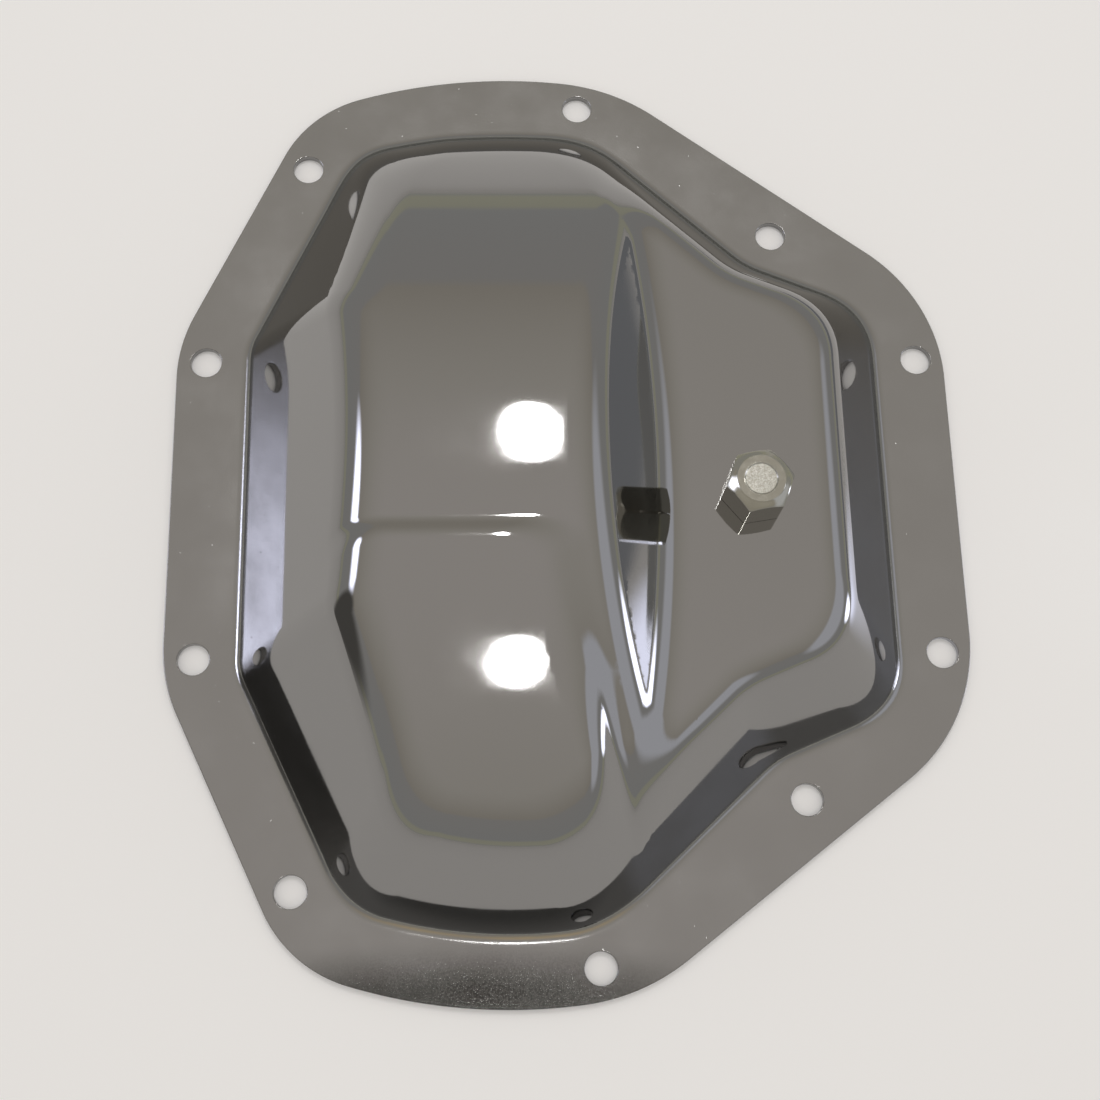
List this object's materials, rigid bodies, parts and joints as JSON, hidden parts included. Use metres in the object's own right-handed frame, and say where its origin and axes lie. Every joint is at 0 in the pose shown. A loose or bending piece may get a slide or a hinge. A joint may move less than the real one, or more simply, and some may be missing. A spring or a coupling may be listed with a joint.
{
  "type": "axle differential cover",
  "caption": "Pressed and chromed steel cover for an axle differential, with a bulged bowl, a flat side panel, a bolting flange and a hex head fill plug.",
  "frame": {"origin": "middle of the flange outline on the gasket face", "axes": "+Z out of the cover, away from the housing; +Y along the long side; +X towards the side with the fill plug"},
  "size_m": [0.2926, 0.3602, 0.0762],
  "materials": {
    "chrome": "mirror chrome plate on pressed steel",
    "boss_steel": "turned steel",
    "weld_steel": "weld bead",
    "plug_steel": "zinc plated, worn bright"
  },
  "bodies": {
    "root": {"cover_shell": "chrome", "fill_boss": "boss_steel", "boss_weld": "weld_steel", "fill_plug": "plug_steel"}
  },
  "joints": []
}
